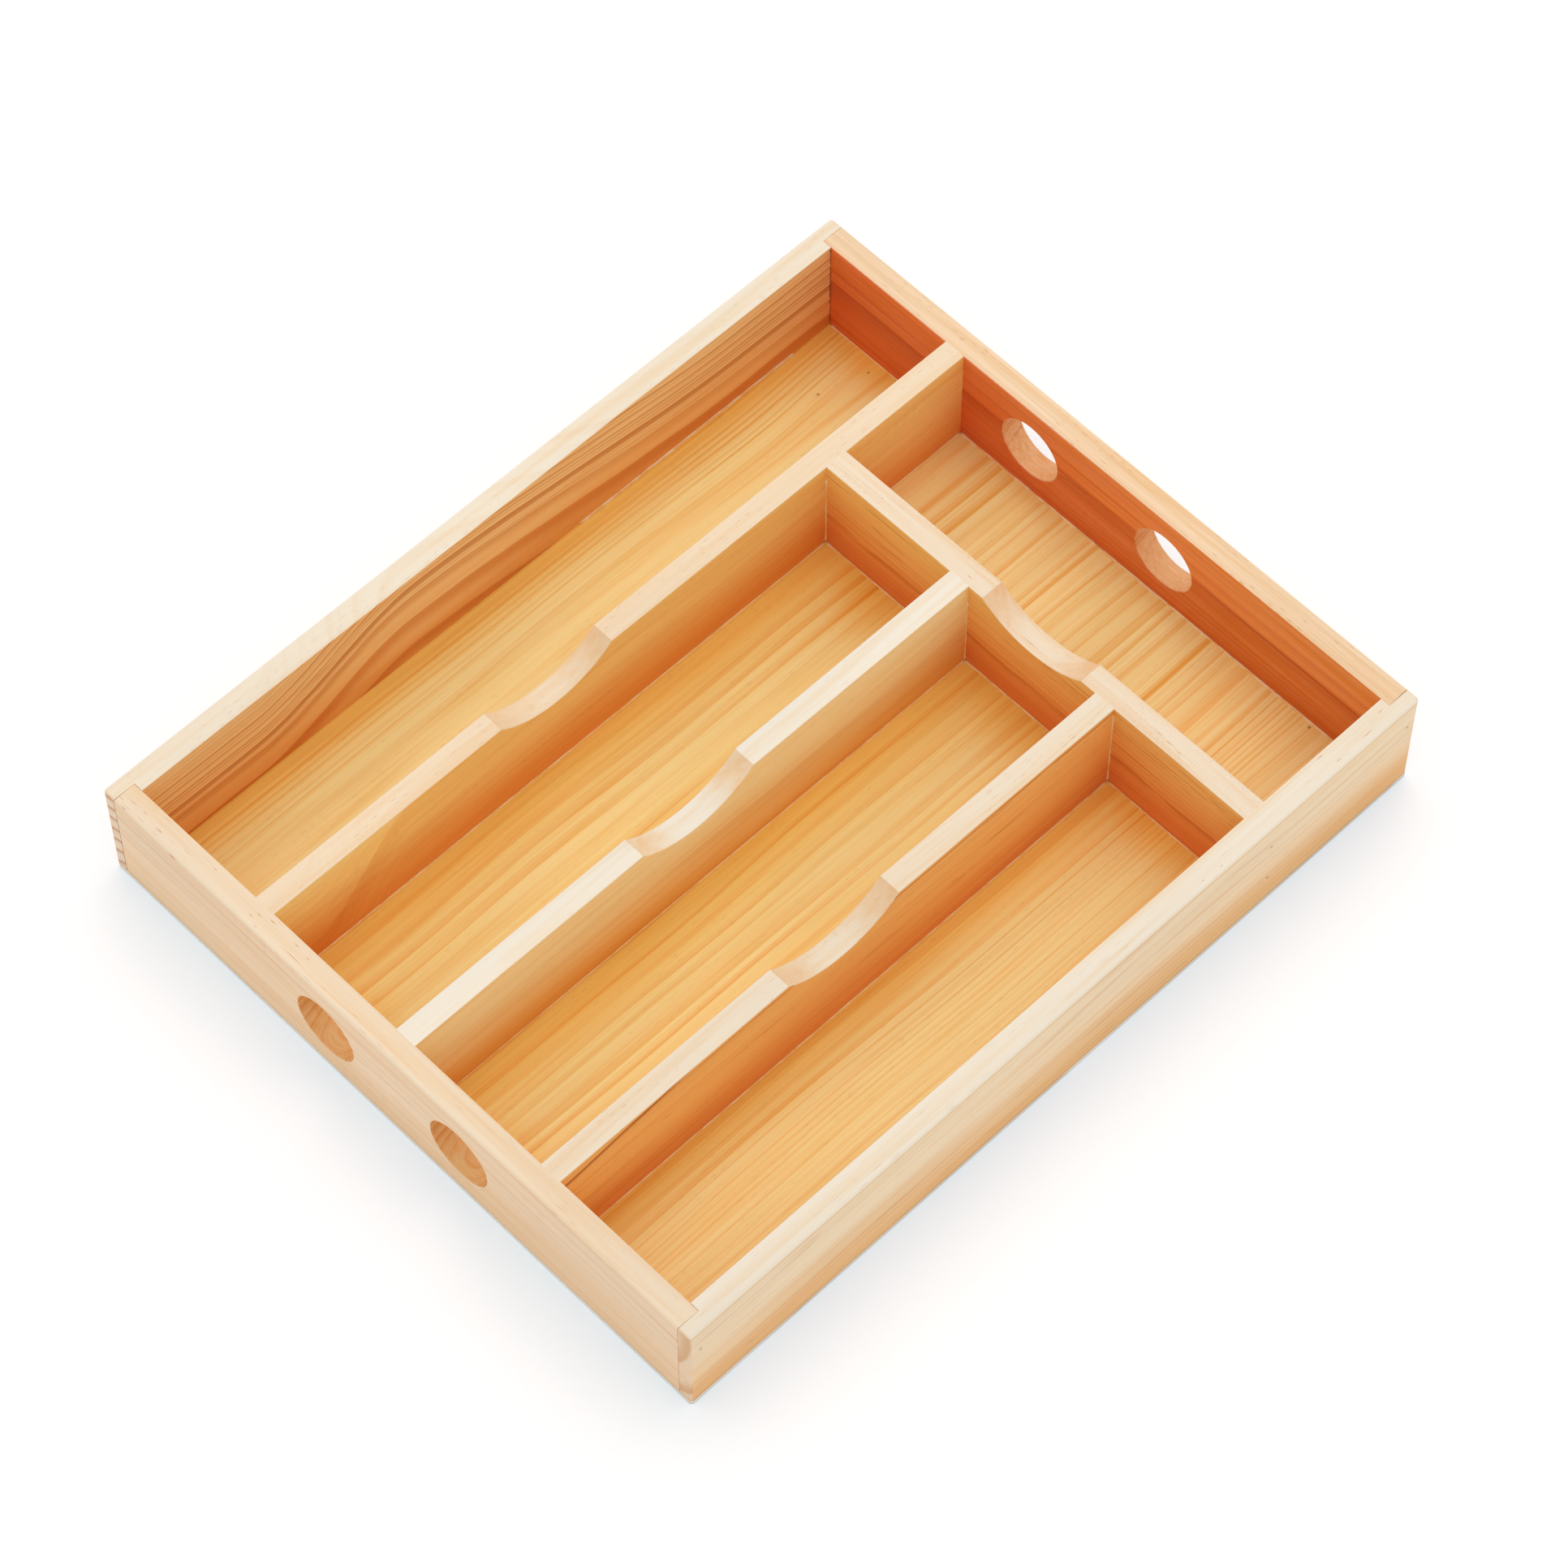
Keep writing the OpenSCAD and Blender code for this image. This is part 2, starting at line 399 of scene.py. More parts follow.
# growth rings and fibres of a board whose grain runs along the vector's X
def makePineFigure():
    given, out = startGroup(
        "pineFigure",
        {
            "Vector": ["Vector"],
            "Float": [
                "Pith Across", "Pith Up", "Ring Width", "Tight Middle", "Tight From", "Tight Rings",
                "Wobble", "Sharpness", "Fleck Stretch", "Fleck Share", "End Width", "Bow", "Calm",
                "Patchiness", "Faint Until", "Faint", "Seed",
            ],
        },
        {"Float": figureParts},
    )
    point = inMillimetres(given["Vector"])
    shift = scaleVector(rings["seedShift"], given["Seed"])

    def wave(key, detail=2.0, roughness=0.5):
        lengthways, crossways = waves[key]
        spot = stretchVector(point, (lengthways, crossways, crossways), shift)
        return noiseAt(spot, detail, roughness)

    def band(value, rise, stop):
        return times(rampUp(value, *rings[rise]), rampDown(value, *rings[stop]))

    along, across, up = splitVector(point)
    feed(out["Rise"], up)
    # distance from the pith, wavering along the board
    slow = minus(wave("slow", 1.5), 0.5)
    quick = minus(wave("quick"), 0.5)
    level = minus(up, given["Bow"])
    sideways = minus(across, given["Pith Across"])
    upward = minus(level, given["Pith Up"])
    squares = timesPlus(sideways, sideways, times(upward, upward))
    radius = timesPlus(slow, given["Wobble"], calc("SQRT", squares))
    radius = timesPlus(quick, times(given["Wobble"], rings["quickShare"]), radius)
    count = calc("DIVIDE", radius, given["Ring Width"])
    # rings stand closer beyond a distance from the middle
    beyond = calc("ABSOLUTE", minus(across, given["Tight Middle"]))
    beyond = timesPlus(slow, given["Wobble"], minus(beyond, given["Tight From"]))
    count = timesPlus(calc("MAXIMUM", beyond, 0.0), given["Tight Rings"], count)
    uneven = noiseAt(timesPlus(count, rings["unevenStep"], given["Seed"]), 1.0, dimensions="1D")
    count = timesPlus(minus(uneven, 0.5), rings["unevenReach"], count)
    whole = calc("FLOOR", count)
    luck = put("ShaderNodeTexWhiteNoise", noise_dimensions="1D")
    feed(luck.inputs["W"], timesPlus(given["Seed"], rings["luckStep"], whole))
    # late wood darkens slowly and stops sharply
    part = calc("FRACT", count)
    rise = calc("POWER", rampUp(part, *rings["lateRise"]), given["Sharpness"])
    rise = times(rise, rampDown(part, *rings["lateStop"]))
    stir = rampUp(minus(level, given["Calm"]), *rings["calmEdge"])
    gone = rampUp(wave("gaps"), *rings["gapEdge"], given["Patchiness"], 0.0)
    begun = minus(along, given["Faint Until"])
    begun = rampUp(begun, *rings["faintEdge"], given["Faint"], 1.0)
    stir = times(stir, rest(gone), begun)
    strength = timesPlus(luck.outputs["Value"], rings["luckShare"], 1 - rings["luckShare"])
    feed(out["Rings"], times(rise, stir, strength))
    endPart = calc("FRACT", calc("DIVIDE", radius, given["End Width"]))
    feed(out["End Rings"], band(endPart, "endRise", "endStop"))
    finePart = calc("FRACT", times(count, rings["fineCount"]))
    patch = rampUp(wave("patches"), *rings["patchEdge"])
    feed(out["Lines"], times(band(finePart, "fineRise", "fineStop"), patch, stir))
    broad, narrow = wave("broad", 3.0, 0.6), wave("narrow", 2.0, 0.6)
    feed(out["Streaks"], timesPlus(broad, 0.5, times(narrow, 0.5)))
    feed(out["Cloud"], wave("cloud", 1.5))
    feed(out["Blush"], rampUp(wave("blush", 3.0, 0.55), *rings["blushEdge"]))
    # resin canals, thin dashes that gather in places
    pull = put("ShaderNodeCombineXYZ")
    feed(pull.inputs[0], calc("DIVIDE", rings["fleckSize"], given["Fleck Stretch"]))
    pull.inputs[1].default_value = rings["fleckSize"]
    pull.inputs[2].default_value = rings["fleckSize"]
    dash = put("ShaderNodeTexVoronoi", feature="F1", voronoi_dimensions="3D")
    feed(dash.inputs["Vector"], stretchVector(point, pull.outputs[0], shift))
    dash.inputs["Scale"].default_value = 1.0
    hue = put("ShaderNodeSeparateColor")
    feed(hue.inputs[0], dash.outputs["Color"])
    gather = rampUp(wave("gather"), *rings["gatherEdge"], *rings["gatherShare"])
    chosen = calc("LESS_THAN", hue.outputs[0], times(gather, given["Fleck Share"]))
    mark = rampDown(dash.outputs["Distance"], *rings["fleckEdge"])
    weight = timesPlus(hue.outputs[1], 0.5, 0.5)
    feed(out["Flecks"], times(mark, chosen, weight))
    return bench["tree"]


# where the turn of a face begins and ends to count
faceEdges = {
    "top": (0.3, 0.85),
    "outer": (0.2, 0.8),
    "end": (0.1, 0.6),
    "arrisFrom": (0.15, 0.5),
    "arrisTo": (0.85, 0.985),
    "arrisEnd": (0.2, 0.5),
}


# which way a face of a board looks
def makeBoardFaces():
    given, out = startGroup(
        "boardFaces", {"Vector": ["Normal", "Outward", "Grain"]}, {"Float": faceParts}
    )
    up = splitVector(given["Normal"])[2]
    facing = dot(given["Normal"], given["Outward"])
    endways = calc("ABSOLUTE", dot(given["Normal"], given["Grain"]))
    feed(out["Top"], rampUp(up, *faceEdges["top"]))
    feed(out["Outer"], rampUp(facing, *faceEdges["outer"]))
    feed(out["End"], rampUp(endways, *faceEdges["end"]))
    arris = times(
        rampUp(up, *faceEdges["arrisFrom"]),
        rampDown(up, *faceEdges["arrisTo"]),
        rampDown(endways, *faceEdges["arrisEnd"]),
    )
    feed(out["Arris"], arris)
    return bench["tree"]


lacquer = {
    # the painted shade at the foot wavers by this much and starts this high
    "footShadeDrift": 26.0,
    "footShadeFrom": 2.0,
    "flush": (0.99, 0.88, 0.74),
    "sawnGain": 1.25,
    "endCloud": 0.6,
    "endLeast": 0.5,
    "boreLines": 0.5,
    "streakFade": -1.4,
    "resin": (0.5, 0.15, 0.035),
    "resinShare": 0.9,
    "boreFlecks": -0.7,
    # the painted highlight along the rounded arrises
    "arrisHighlight": (0.95, 0.86, 0.7),
    "arrisHighlightMix": 0.5,
    "arrisHighlightShare": 0.3,
    "streakRough": 0.14,
    "leastRough": 0.38,
    "endRough": 0.15,
    "streakHeight": 0.5,
    "ringHeight": 0.3,
}


# lacquered pine from the figure and the face
def makePineColour():
    given, out = startGroup(
        "pineColour",
        {
            "Float": [
                *figureParts, *faceParts, "Bore", "Foot Height", "Top Figure", "Ring Strength",
                "Line Strength", "Streak Strength", "Cloud Strength", "Blush Strength", "Fleck Strength",
            ],
            "Color": [
                "Top Colour", "Outer Colour", "Inner Colour", "Late Tint", "Top Late", "Foot Tint",
                "End Colour", "Bore Colour",
            ],
        },
        {"Color": ["Colour"], "Float": ["Roughness", "Height"]},
    )
    drift = minus(given["Cloud"], 0.5)
    # painted shade: the inner faces take a deeper, more saturated orange than the outer faces
    base = mixColour(given["Outer"], given["Inner Colour"], given["Outer Colour"])
    # painted shade: faces darken towards the foot, where they meet the floor
    level = timesPlus(drift, lacquer["footShadeDrift"], given["Rise"])
    base = stain(rampDown(level, lacquer["footShadeFrom"], given["Foot Height"]), base, given["Foot Tint"])
    # painted highlight: the top takes a paler cream; the end grain and the hole walls take their own
    # colours
    for face in ("Top", "End", "Bore"):
        base = mixColour(given[face], base, given[face + " Colour"])
    blush = times(given["Blush"], given["Blush Strength"])
    base = stain(blush, base, lacquer["flush"])
    # late wood, plainer on the top and of its own kind on the end grain and in the holes
    late = times(given["Rings"], given["Ring Strength"])
    late = timesPlus(given["Lines"], given["Line Strength"], late)
    plain = minus(given["Top"], times(given["Top"], given["Top Figure"]))
    sawn = calc("MULTIPLY", minus(given["End"], given["Top"]), lacquer["sawnGain"], clamp=True)
    late = times(late, rest(plain), rest(sawn))
    endLate = timesPlus(given["Cloud"], lacquer["endCloud"], lacquer["endLeast"])
    late = timesPlus(times(given["End Rings"], endLate), sawn, late)
    boreLate = timesPlus(given["Lines"], lacquer["boreLines"], given["Rings"])
    late = calc("MAXIMUM", late, times(given["Bore"], boreLate))
    tint = mixColour(given["Top"], given["Late Tint"], given["Top Late"])
    colour = stain(late, base, tint)
    lift = times(minus(given["Streaks"], 0.5), given["Streak Strength"])
    value = timesPlus(drift, given["Cloud Strength"], lift)
    shade = put("ShaderNodeHueSaturation")
    feed(shade.inputs["Color"], colour)
    feed(shade.inputs["Value"], calc("ADD", value, 1.0))
    feed(shade.inputs["Saturation"], timesPlus(lift, lacquer["streakFade"], 1.0))
    colour = shade.outputs[0]
    resin = mixColour(lacquer["resinShare"], colour, lacquer["resin"])
    fewer = timesPlus(given["Bore"], lacquer["boreFlecks"], 1.0)
    colour = mixColour(times(given["Flecks"], given["Fleck Strength"], fewer), colour, resin)
    # painted highlight: a pale line along the rounded arrises
    arrisHighlight = mixColour(lacquer["arrisHighlightMix"], colour, lacquer["arrisHighlight"])
    colour = mixColour(times(given["Arris"], lacquer["arrisHighlightShare"]), colour, arrisHighlight)
    feed(out["Colour"], colour)
    rough = timesPlus(given["Streaks"], lacquer["streakRough"], lacquer["leastRough"])
    feed(out["Roughness"], timesPlus(given["End"], lacquer["endRough"], rough))
    height = minus(
        times(given["Streaks"], lacquer["streakHeight"]),
        times(given["Rings"], lacquer["ringHeight"]),
    )
    feed(out["Height"], minus(height, given["Flecks"]))
    return bench["tree"]


veinShape = {
    "seedShift": (5.3, 9.1, 2.7),
    "bend": (0.03, 0.0, 0.0),
    "breaks": (0.05, 0.4, 0.4),
    "breakBlend": 0.2,
    "crisp": 0.14,
    "solid": 0.15,
    "fadeIn": 6.0,
    "fadeOut": 40.0,
    "facing": (0.5, 0.9),
}


# one dark vein along a board, at a height that wavers
def makeVein():
    given, out = startGroup(
        "vein",
        {
            "Vector": ["Vector", "Normal", "Facing"],
            "Float": [
                "Height", "Slope", "Bow", "Waver", "Width", "Start", "Stop", "Broken", "Seed",
            ],
        },
        {"Float": ["Mask"]},
    )
    point = inMillimetres(given["Vector"])
    shift = scaleVector(veinShape["seedShift"], given["Seed"])
    along, across, up = splitVector(point)
    bent = noiseAt(stretchVector(point, veinShape["bend"], shift), 3.0)
    line = timesPlus(minus(bent, 0.5), given["Waver"], given["Height"])
    line = timesPlus(along, given["Slope"], line)
    line = calc("ADD", line, given["Bow"])
    # crisp above the line, soft below it
    above = minus(up, line)
    below = times(above, -1.0)
    crisp = rampDown(above, 0.0, times(given["Width"], veinShape["crisp"]))
    soft = rampDown(below, times(given["Width"], veinShape["solid"]), given["Width"])
    breaks = noiseAt(stretchVector(point, veinShape["breaks"], shift))
    whole = calc("ADD", given["Broken"], veinShape["breakBlend"])
    shown = rampUp(breaks, given["Broken"], whole)
    begun = rampUp(along, given["Start"], calc("ADD", given["Start"], veinShape["fadeIn"]))
    ended = rampDown(along, minus(given["Stop"], veinShape["fadeOut"]), given["Stop"])
    facing = rampUp(dot(given["Normal"], given["Facing"]), *veinShape["facing"])
    feed(out["Mask"], times(crisp, soft, shown, begun, ended, facing))
    return bench["tree"]


# how far the rings of a board climb and sink again along it
def makeRingBow():
    given, out = startGroup(
        "ringBow",
        {
            "Vector": ["Vector"],
            "Float": ["Climb", "Climb From", "Climb To", "Sink", "Sink From", "Sink To"],
        },
        {"Float": ["Bow"]},
    )
    along = splitVector(inMillimetres(given["Vector"]))[0]
    climb, sink = (
        rampUp(along, given[way + " From"], given[way + " To"], 0.0, given[way])
        for way in ("Climb", "Sink")
    )
    feed(out["Bow"], minus(climb, sink))
    return bench["tree"]


# the walls of the two round holes in an end board
def makeBoreWall():
    given, out = startGroup(
        "boreWall", {"Vector": ["Vector"], "Float": ["Along", "Up", "Radius"]}, {"Float": ["Mask"]}
    )
    along, across, up = splitVector(inMillimetres(given["Vector"]))
    aside = minus(calc("ABSOLUTE", along), given["Along"])
    above = minus(up, given["Up"])
    squares = timesPlus(aside, aside, times(above, above))
    feed(out["Mask"], calc("LESS_THAN", calc("SQRT", squares), given["Radius"]))
    return bench["tree"]


raggedMark = {"grain": 1.4, "reach": 0.5}


# a resin mark of given half sizes round one point
def makeResinMark():
    given, out = startGroup(
        "resinMark", {"Vector": ["Vector", "Centre", "Reach"]}, {"Float": ["Mask"]}
    )
    point = inMillimetres(given["Vector"])
    offset = vectorCalc("SUBTRACT", point, given["Centre"])
    offset = vectorCalc("DIVIDE", offset, given["Reach"])
    ragged = minus(noiseAt(scaleVector(point, raggedMark["grain"])), 0.5)
    away = vectorCalc("LENGTH", offset, result=1)
    distance = timesPlus(ragged, raggedMark["reach"], away)
    feed(out["Mask"], rampDown(distance, 0.0, 1.0))
    return bench["tree"]


# how far a point lies inside one compartment, from its nearest wall
def makeNook():
    given, out = startGroup(
        "nook", {"Vector": ["Vector", "Centre", "Half"]}, {"Float": ["Depth"]}
    )
    point = inMillimetres(given["Vector"])
    away = vectorCalc("ABSOLUTE", vectorCalc("SUBTRACT", point, given["Centre"]))
    inside = splitVector(vectorCalc("SUBTRACT", given["Half"], away))
    feed(out["Depth"], calc("MINIMUM", inside[0], inside[1]))
    return bench["tree"]


pineFigure = makePineFigure()
boardFaces = makeBoardFaces()
pineColour = makePineColour()
vein = makeVein()
ringBow = makeRingBow()
boreWall = makeBoreWall()
resinMark = makeResinMark()
nook = makeNook()
print("shader groups built")

# the look of a board where its own settings say nothing else
plainPine = {
    "along": "Y",
    "outward": (0, 0, 0),
    "ringWidth": 3,
    "wobble": 12,
    "sharpness": 1.6,
    "fleckStretch": 14,
    "endWidth": 4,
    "calm": -1000,
    "patchiness": 0,
    # the inner faces are deeper and more orange than the outer faces and the top, as painted shade
    "outerColour": (0.88, 0.66, 0.43),
    "innerColour": (0.9, 0.54, 0.19),
    "lateTint": (0.8, 0.56, 0.34),
    "topLate": (0.95, 0.76, 0.54),
    "endColour": (0.87, 0.66, 0.46),
    # painted shade reaches up to this height from the foot of each face
    "footHeight": 26,
    "topFigure": 0.7,
    "lineStrength": 0.3,
    "streakStrength": 0.1,
    "cloudStrength": 0.22,
    "blushStrength": 0.7,
    "fleckStrength": 0.5,
    "gloss": 0.35,
    "ringBow": None,
    "tight": (0, 1000, 0),
    "faintUntil": -1000,
    "faint": 1,
    "fleckShare": 1,
    "veins": [],
    "nooks": [],
    "marks": [],
    "markTint": (0.72, 0.42, 0.24),
    "boreWalls": None,
    "reliefStrength": 0.25,
    "reliefDepth": 0.0001,
}
rightward, leftward, frontward, backward = (1, 0, 0), (-1, 0, 0), (0, -1, 0), (0, 1, 0)
plainVein = {"waver": 3.0, "broken": 0.2, "slope": 0.0, "start": -200.0, "stop": 200.0}


# a vein of a board, seen on the faces that look one way
def veinRow(facing, tint, height, width, seed, **more):
    return dict(plainVein, facing=facing, tint=tint, height=height, width=width, seed=seed, **more)


# marks on the upper faces, each with its place and half sizes across the tray and along it
def topMarks(*rows):
    return [((x, y, topZ), (reachX, reachY, 2)) for x, y, reachX, reachY in rows]


# the strongest of several masks
def strongest(masks):
    most = masks[0]
    for mask in masks[1:]:
        most = calc("MAXIMUM", most, mask)
    return most


def makePine(name, **changes):
    look = dict(plainPine, **changes)
    material, shader = startMaterial(name)
    place = put("ShaderNodeTexCoord")
    spot, normal = place.outputs["Object"], place.outputs["Normal"]
    # the grain of a board along Y is turned to the figure's X
    alongY = look["along"] == "Y"
    mirror = -1 if alongY else 1
    turn = put("ShaderNodeMapping")
    feed(turn.inputs["Vector"], spot)
    turn.inputs["Rotation"].default_value = (0, 0, -math.pi / 2 if alongY else 0)
    grainwise = turn.outputs[0]
    bow = 0.0
    if look["ringBow"]:
        bow = use(ringBow, look["ringBow"], vector=grainwise).outputs["Bow"]
    figure = use(
        pineFigure,
        look,
        vector=grainwise,
        bow=bow,
        pithAcross=mirror * look["pith"][0],
        pithUp=look["pith"][1],
        tightMiddle=mirror * look["tight"][0],
        tightFrom=look["tight"][1],
        tightRings=look["tight"][2],
    )
    faces = use(boardFaces, look, normal=normal, grain=(0, 1, 0) if alongY else (1, 0, 0))
    colour = use(pineColour, look)
    for socket in (*figure.outputs, *faces.outputs):
        feed(colour.inputs[socket.name], socket)
    if look["boreWalls"]:
        walls = use(boreWall, look["boreWalls"], vector=grainwise)
        feed(colour.inputs["Bore"], walls.outputs["Mask"])
    tone = colour.outputs["Colour"]
    for row in look["veins"]:
        line = use(vein, row, vector=grainwise, normal=normal, bow=bow)
        tone = stain(line.outputs["Mask"], tone, row["tint"])
    nookShades = []
    # painted shade: the floor takes a deeper tone near the walls of each compartment
    for centre, half, reach in look["nooks"]:
        depth = use(nook, {}, vector=spot, centre=centre, half=half).outputs["Depth"]
        within = rampUp(depth, *look["nookEdge"])
        nookShades.append(times(rampDown(depth, 0.0, reach), within))
    if nookShades:
        edge = times(strongest(nookShades), faces.outputs["Top"])
        tone = stain(edge, tone, look["nookTint"])
    marks = [
        use(resinMark, {}, vector=spot, centre=centre, reach=reach).outputs["Mask"]
        for centre, reach in look["marks"]
    ]
    if marks:
        tone = stain(strongest(marks), tone, look["markTint"])
    relief = put("ShaderNodeBump")
    relief.inputs["Strength"].default_value = look["reliefStrength"]
    relief.inputs["Distance"].default_value = look["reliefDepth"]
    feed(relief.inputs["Height"], colour.outputs["Height"])
    feed(shader.inputs["Base Color"], tone)
    feed(shader.inputs["Roughness"], colour.outputs["Roughness"])
    feed(shader.inputs["Normal"], relief.outputs[0])
    shader.inputs["Specular IOR Level"].default_value = look["gloss"]
    return material


# long sides
leftSide = {
    "node": "left_side",
    "slot": "left_side_pine",
    "sign": -1,
    "cornerR": {-1: 1.6, 1: 1.3},
    "torn": {"end": 1, "cuts": 44, "depth": 0.5, "least": 0.1, "seed": 7},
    "brads": [(-153.65, 33.0), (153.65, 33.0)],
}
rightSide = {
    "node": "right_side",
    "slot": "right_side_pine",
    "sign": 1,
    "cornerR": {-1: 1.1, 1: 1.9},
    "brads": [(-153.65, 33.0), (153.65, 33.0), (91.35, 33.0), (91.35, 14.2)],
}
bradHole = {"wide": 1.1, "tall": 0.9, "deep": 0.8, "proud": 2.0}


# splinters along the sawn shoulder of a rebate
def tearShoulder(piece, inner, torn):
    pickEdges(piece, edgeOn(x=inner, y=torn["end"] * innerY))
    bpy.ops.mesh.subdivide(number_cuts=torn["cuts"])
    mesh = bmesh.from_edit_mesh(piece.data)
    picked = sorted((vert for vert in mesh.verts if vert.select), key=lambda vert: vert.co.z)
    luck = random.Random(torn["seed"])
    for vert in picked[1:-1]:
        vert.co.y -= torn["end"] * mm(luck.uniform(torn["least"], 1.0) * torn["depth"])
    bmesh.update_edit_mesh(piece.data)
    leaveEdit()


def makeSide(name, settings, material):
    sign, past = settings["sign"], tray["past"]
    outer, inner, lip = sign * halfW, sign * innerX, sign * lipX
    piece = addBlock(name, (outer, -halfL, floorZ), (inner, halfL, topZ))
    for end, radius in settings["cornerR"].items():
        roundEdges(piece, (radius, tray["cornerFacets"]), edgeOn(x=outer, y=end * halfL))
    onTop, onFoot, onInner = edgeOn(z=topZ), edgeOn(z=floorZ), edgeOn(x=inner)
    roundEdges(piece, tray["topRound"], lambda a, b: onTop(a, b) and not onInner(a, b))
    roundEdges(piece, tray["footRound"], lambda a, b: onFoot(a, b) and not onInner(a, b))
    for end in (-1, 1):
        outside = (lip, end * (halfL + past), -past)
        shoulder = (inner - sign * past, end * innerY, topZ + past)
        cutAway(piece, addBlock("rebate", outside, shoulder))
    roundEdges(piece, tray["arrisRound"], edgeOn(x=inner, z=topZ))
    if "torn" in settings:
        tearShoulder(piece, inner, settings["torn"])
    halfY, halfZ = bradHole["wide"] / 2, bradHole["tall"] / 2
    for y, z in settings["brads"]:
        mouth = (outer + sign * bradHole["proud"], y - halfY, z - halfZ)
        bottom = (outer - sign * bradHole["deep"], y + halfY, z + halfZ)
        cutAway(piece, addBlock("bradHole", mouth, bottom))
    finishBoard(piece, settings, material)


leftPine = {
    "outward": leftward,
    "pith": (-106, -30),
    "ringWidth": 2.4,
    "wobble": 7,
    "seed": 2,
    "topColour": (0.885, 0.765, 0.6),
    "innerColour": (0.95, 0.64, 0.29),
    "endColour": (0.86, 0.69, 0.52),
    "lateTint": (0.66, 0.4, 0.23),
    "footTint": (0.89, 0.64, 0.43),
    "topFigure": 0.3,
    "ringStrength": 1,
    "lineStrength": 0.35,
    "sharpness": 2.2,
    "endWidth": 6,
    "calm": 13,
    "ringBow": {
        "climb": 20,
        "climbFrom": -105,
        "climbTo": -38,
        "sink": 15,
        "sinkFrom": -40,
        "sinkTo": 105,
    },
    "veins": [
        veinRow(rightward, (0.8, 0.54, 0.35), 3, 9, 1, waver=2, broken=-0.3),
        veinRow(rightward, (0.88, 0.72, 0.58), 14, 6, 2, waver=2, broken=-0.3, slope=-0.02),
        veinRow(rightward, (0.82, 0.6, 0.44), -12, 7, 3, waver=2, broken=-0.3),
    ],
}
rightPine = {
    "outward": rightward,
    "pith": (96, 41),
    "ringWidth": 5,
    "seed": 5,
    "topColour": (0.87, 0.77, 0.625),
    "outerColour": (0.92, 0.725, 0.48),
    "footTint": (0.97, 0.71, 0.39),
    "footHeight": 34,
    "ringStrength": 0.16,
    "wobble": 8,
    "endWidth": 12,
    "marks": [
        *topMarks(
            (123.6, 120, 0.24, 2.2),
            (128.4, 123.4, 0.21, 2),
            (128.1, 136.8, 0.21, 3.4),
            (125.3, 145.6, 0.24, 1.6),
            (128.8, 61.9, 0.2, 0.9),
            (129.1, 69.7, 0.2, 0.9),
        ),
        ((131, 99.6, 19.8), (2, 2.2, 0.24)),
    ],
    "fleckStrength": 0.4,
    "fleckStretch": 26,
    "veins": [
        # a tan line just under the top arris of the outer face
        veinRow(rightward, (0.93, 0.82, 0.68), 44, 1.5, 21, waver=0.8, broken=-0.1),
        veinRow(rightward, (0.82, 0.66, 0.46), 15, 0.6, 22, waver=2.5, broken=0.5),
        veinRow(rightward, (0.8, 0.62, 0.42), 9, 0.6, 23, waver=2, broken=0.5),
        veinRow(rightward, (0.74, 0.54, 0.34), 6, 0.5, 24, waver=1.5, broken=0.46),
    ],
}
makeSide("leftSide", leftSide, makePine("leftSidePine", **leftPine))
makeSide("rightSide", rightSide, makePine("rightSidePine", **rightPine))

# ends
holes = {"radius": 12.5, "x": 30.0, "rim": (0.3, 3), "sides": 192, "slack": 0.05}
frontEnd = {"node": "front_end", "slot": "front_end_pine", "sign": -1, "open": {-1: 0.22, 1: 0.1}}
backEnd = {"node": "back_end", "slot": "back_end_pine", "sign": 1, "open": {-1: 0.12, 1: 0.3}}


def makeEnd(name, settings, material):
    sign = settings["sign"]
    outer, inner = sign * halfL, sign * innerY
    reach = lipX - tray["jointGap"]
    piece = addBlock(name, (-reach, outer, floorZ), (reach, inner, topZ))
    # the joint stands a little open at the outer face
    for end, width in settings["open"].items():
        pickEdges(piece, edgeOn(x=end * reach, y=outer))
        bpy.ops.transform.translate(value=(mm(-end * width), 0, 0))
        leaveEdit()
    roundEdges(piece, tray["topRound"], edgeOn(y=outer, z=topZ))
    roundEdges(piece, tray["footRound"], edgeOn(y=outer, z=floorZ))
    roundEdges(piece, tray["arrisRound"], edgeOn(y=inner, z=topZ))
    for x in (-holes["x"], holes["x"]):
        middle = (x, (outer + inner) / 2, middleZ)
        cutAway(piece, addDrum("bore", holes["radius"], middle, "Y", holes["sides"]))

    def onRim(a, b):
        if not (near(a.y, b.y) and (near(a.y, outer) or near(a.y, inner))):
            return False
        away = [math.hypot(abs(p.x) - holes["x"], p.z - middleZ) for p in (a, b)]
        return all(near(distance, holes["radius"], holes["slack"]) for distance in away)

    roundEdges(piece, holes["rim"], onRim)
    finishBoard(piece, settings, material)


